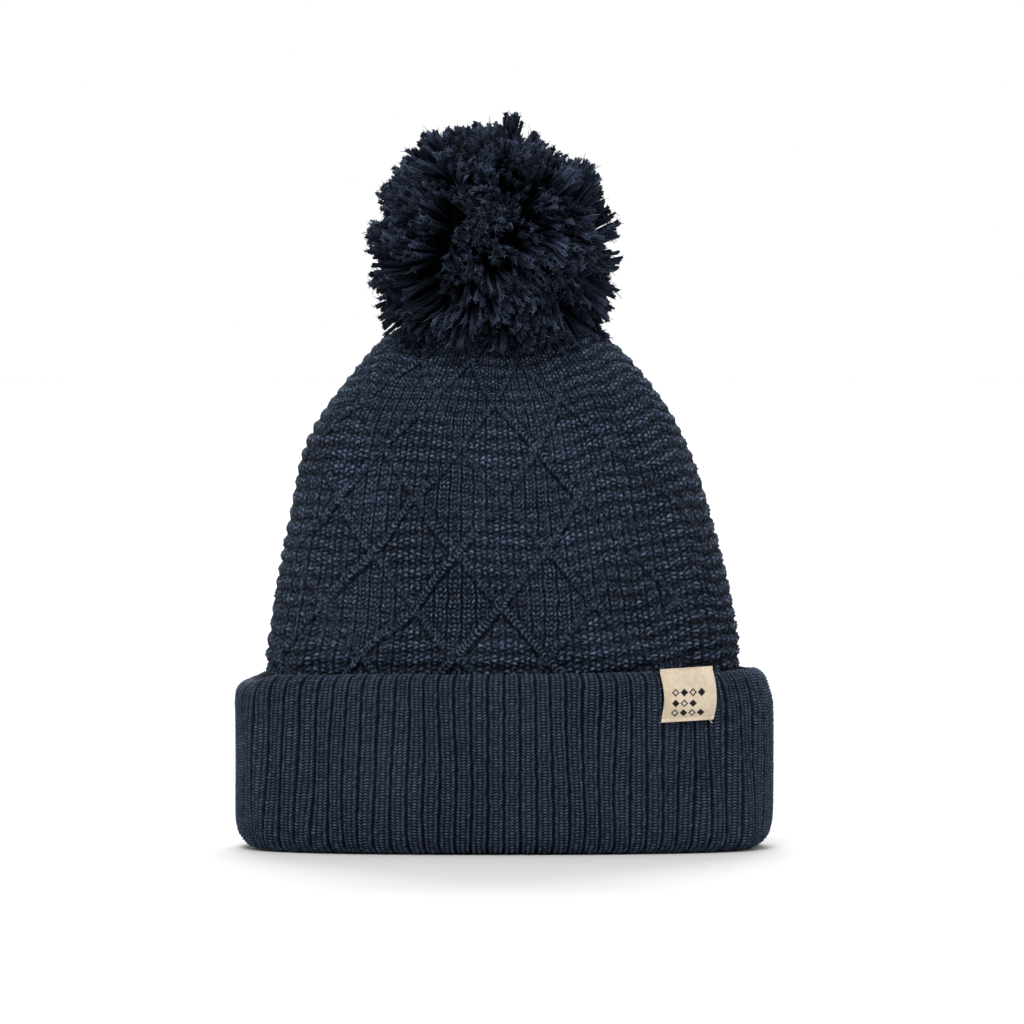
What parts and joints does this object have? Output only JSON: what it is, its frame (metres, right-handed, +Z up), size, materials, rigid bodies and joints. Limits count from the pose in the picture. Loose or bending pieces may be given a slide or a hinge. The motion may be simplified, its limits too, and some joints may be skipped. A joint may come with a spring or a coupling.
{
  "type": "pom pom beanie",
  "caption": "Knitted winter hat with a textured crown, a folded-up ribbed cuff carrying a small woven label, and a yarn pom pom that rocks and turns on its tie.",
  "frame": {"origin": "centre of the hat's plan, on the surface its folded band stands on", "axes": "+Z up from the band's fold to the pom pom, -Y towards the front of the hat, +X towards the side with the woven label"},
  "size_m": [0.226, 0.128, 0.308],
  "materials": {
    "knit_crown": "matte",
    "ribbed_band": "matte",
    "seam_yarn": "matte",
    "pom_yarn": "matte",
    "woven_label": "matte",
    "label_thread": "matte",
    "care_label": "satin"
  },
  "bodies": {
    "hat": {"knit_crown": "knit_crown", "ribbed_band": "ribbed_band", "band_linking_chain": "seam_yarn", "crown_back_seam": "seam_yarn", "band_back_seam": "seam_yarn", "crown_gather_yarn": "seam_yarn", "woven_label": "woven_label", "label_front_stitch": "label_thread", "label_back_stitch": "label_thread"},
    "tie_knot": {"pom_tie_knot": "pom_yarn"},
    "tie_cord": {"pom_tie_cord": "pom_yarn", "pom_waist_tie": "pom_yarn"},
    "pom": {"pom_pile": "pom_yarn"},
    "care_label": {"care_label": "care_label", "care_label_stitch": "label_thread"}
  },
  "joints": [
    {"name": "pom_sway", "type": "hinge", "parent": "hat", "child": "tie_knot", "pos_m": [-0.0044, 0, 0.214], "axis": [0, 1, 0], "range_deg": [-10, 10], "stiffness_Nm_per_rad": 0.09},
    {"name": "pom_nod", "type": "hinge", "parent": "tie_knot", "child": "tie_cord", "pos_m": [-0.0044, 0, 0.214], "axis": [1, 0, 0], "range_deg": [-10, 10], "stiffness_Nm_per_rad": 0.09},
    {"name": "pom_twist", "type": "hinge", "parent": "tie_cord", "child": "pom", "pos_m": [-0.0044, 0, 0.256], "axis": [0, 0, 1], "range_deg": [-60, 60], "stiffness_Nm_per_rad": 0.01},
    {"name": "care_label_swing", "type": "hinge", "parent": "hat", "child": "care_label", "pos_m": [-0.018, 0.0462, 0.058], "axis": [-1, 0, 0], "range_deg": [0, 80]}
  ]
}
